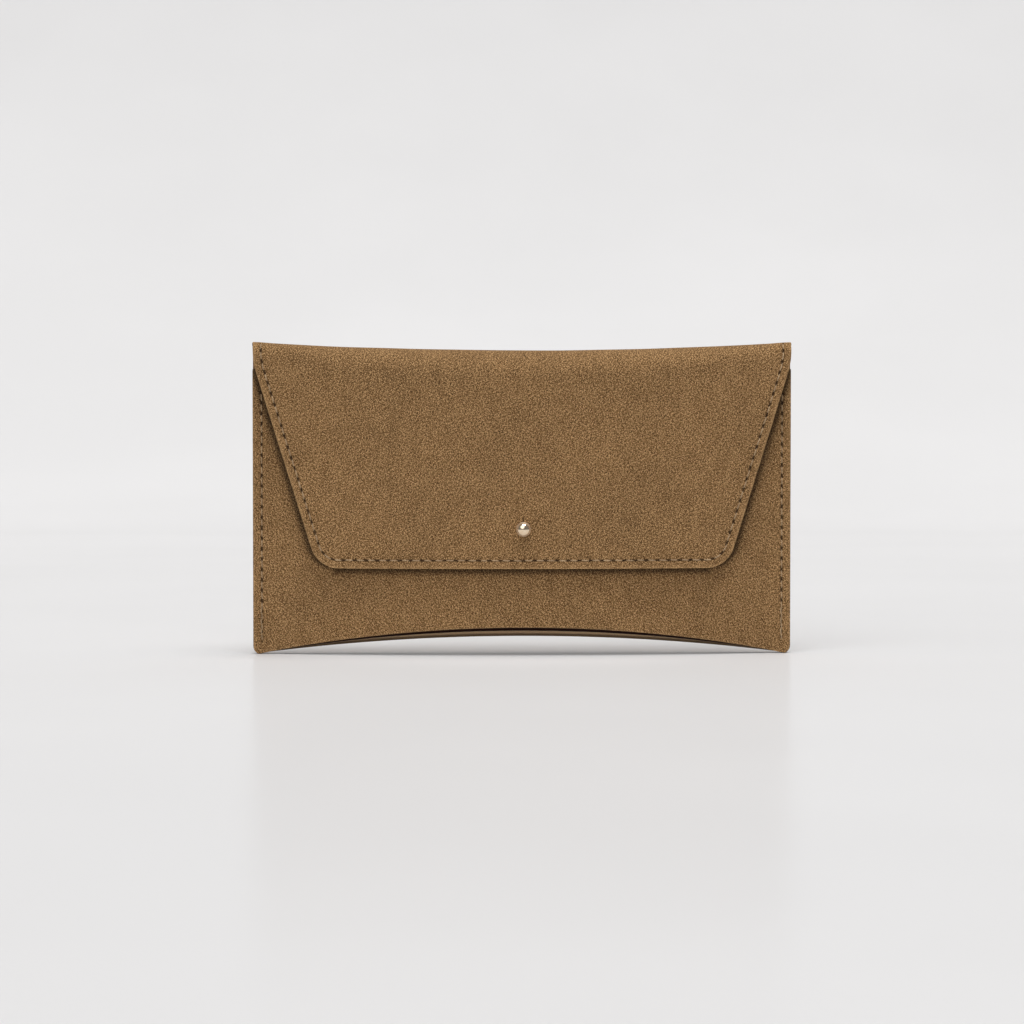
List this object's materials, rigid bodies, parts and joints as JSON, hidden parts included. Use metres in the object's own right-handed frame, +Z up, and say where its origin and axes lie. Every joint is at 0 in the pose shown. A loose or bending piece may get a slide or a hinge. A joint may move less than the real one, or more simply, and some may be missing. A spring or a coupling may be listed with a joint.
{
  "type": "soft pouch glasses case",
  "caption": "Soft suede envelope pouch for glasses, with a lined flap that folds over the front and fastens on a small ball stud.",
  "frame": {"origin": "under the middle of the closed pouch, at the height of its lower corners", "axes": "+X to the right across the front, -Y the way the front and the stud face, +Z up towards the fold"},
  "size_m": [0.185, 0.0228, 0.107],
  "materials": {
    "suede": "tan suede with a short nap",
    "lining": "soft brushed microfibre",
    "leatherboard": "bonded leather fibre board",
    "thread": "twisted polyester thread",
    "stud_metal": "polished pale gold plate"
  },
  "bodies": {
    "pouch": {"back_panel": "suede", "front_panel": "suede", "back_lining": "lining", "front_lining": "lining", "gusset_lining": "lining", "bottom_lining": "lining", "front_stiffener": "leatherboard", "back_stiffener": "leatherboard", "stud_patch": "suede", "stud": "stud_metal", "stud_screw": "stud_metal", "left_seam_needle_thread": "thread", "left_seam_bobbin_thread": "thread", "right_seam_needle_thread": "thread", "right_seam_bobbin_thread": "thread", "mouth_hem_needle_thread": "thread", "mouth_hem_bobbin_thread": "thread"},
    "fold": {"fold_panel": "suede", "fold_lining": "lining"},
    "flap": {"flap_panel": "suede", "flap_lining": "lining", "flap_stiffener": "leatherboard", "flap_hem_needle_thread": "thread", "flap_hem_bobbin_thread": "thread"}
  },
  "joints": [
    {"name": "fold_hinge", "type": "hinge", "parent": "pouch", "child": "fold", "pos_m": [0, 0.01035, 0.1066], "axis": [-1, 0, 0], "range_deg": [0, 90]},
    {"name": "flap_hinge", "type": "hinge", "parent": "fold", "child": "flap", "pos_m": [0, 0.00185, 0.1052], "axis": [-1, 0, 0], "range_deg": [0, 90]}
  ],
  "couplings": [
    {"joint": "flap_hinge", "follows": "fold_hinge", "ratio": 1}
  ]
}
